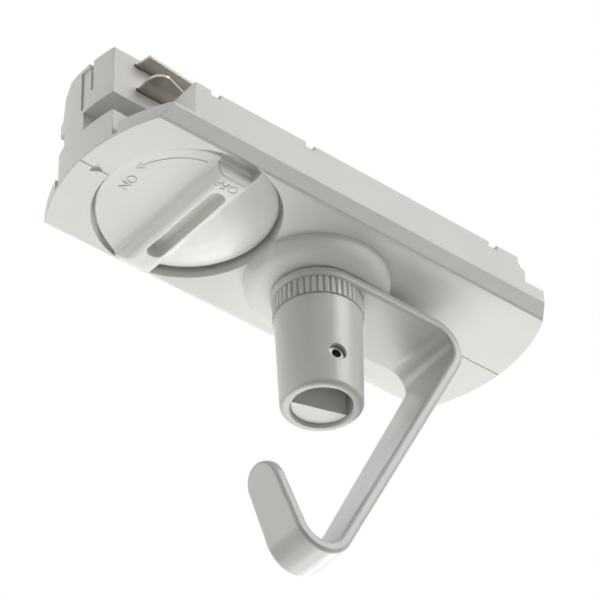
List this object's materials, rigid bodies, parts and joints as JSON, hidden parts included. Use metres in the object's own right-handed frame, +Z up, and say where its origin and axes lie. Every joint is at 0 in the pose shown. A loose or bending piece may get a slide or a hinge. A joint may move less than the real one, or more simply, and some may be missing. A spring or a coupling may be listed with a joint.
{
  "type": "track light adapter",
  "caption": "Track light adapter: a flat moulded plate with a contact block, a rotary dial, a cord grip sleeve and a swivelling strip hook for hanging a lamp.",
  "frame": {"origin": "on the cord grip's axis, in the plane of the plate's underside", "axes": "+Z up towards the track, +X from the contact end to the hook end, +Y to the far long side"},
  "size_m": [0.0897, 0.035, 0.0781],
  "materials": {
    "housing_plastic": "matt",
    "dial_plastic": "satin",
    "satin_paint": "satin",
    "contact_metal": "bright",
    "brass": "satin",
    "zinc_steel": "satin"
  },
  "bodies": {
    "housing": {"base_shell": "housing_plastic", "top_cover": "housing_plastic", "contact_tower": "housing_plastic", "earth_contact": "contact_metal", "line_terminal": "brass", "earth_terminal": "brass", "neutral_terminal": "brass", "terminal_screws": "zinc_steel", "cover_screws": "zinc_steel", "threaded_nipple": "zinc_steel", "nipple_washer": "zinc_steel", "nipple_nut": "zinc_steel", "detent_spring": "contact_metal"},
    "dial": {"dial_knob": "dial_plastic", "cam_shaft": "zinc_steel", "lock_tongue": "zinc_steel", "shaft_screw": "zinc_steel"},
    "carrier": {"contact_slide": "dial_plastic", "line_contact": "contact_metal", "neutral_contact": "contact_metal"},
    "hook": {"hook": "satin_paint"},
    "lock_ring": {"knurled_nut": "satin_paint"},
    "grip": {"cord_grip": "satin_paint", "clamp_jaw": "dial_plastic"},
    "clamp_screw": {"grub_screw": "zinc_steel"}
  },
  "joints": [
    {"name": "dial_turn", "type": "hinge", "parent": "housing", "child": "dial", "pos_m": [-0.0272, 0, 0], "axis": [0, 0, 1], "range_deg": [-90, 0]},
    {"name": "contact_slide", "type": "slide", "parent": "housing", "child": "carrier", "axis": [0, 1, 0], "range_m": [0, 0.0052]},
    {"name": "hook_swivel", "type": "hinge", "parent": "housing", "child": "hook", "pos_m": [0, 0, 0], "axis": [0, 0, 1], "continuous": true},
    {"name": "ring_turn", "type": "hinge", "parent": "housing", "child": "lock_ring", "pos_m": [0, 0, 0], "axis": [0, 0, 1], "continuous": true},
    {"name": "grip_turn", "type": "hinge", "parent": "housing", "child": "grip", "pos_m": [0, 0, 0], "axis": [0, 0, 1], "continuous": true},
    {"name": "screw_travel", "type": "slide", "parent": "grip", "child": "clamp_screw", "axis": [0.2756, 0.9613, 0], "range_m": [0, 0.0024]}
  ],
  "couplings": [
    {"joint": "contact_slide", "follows": "dial_turn", "m_per_rad": -0.0033104}
  ]
}
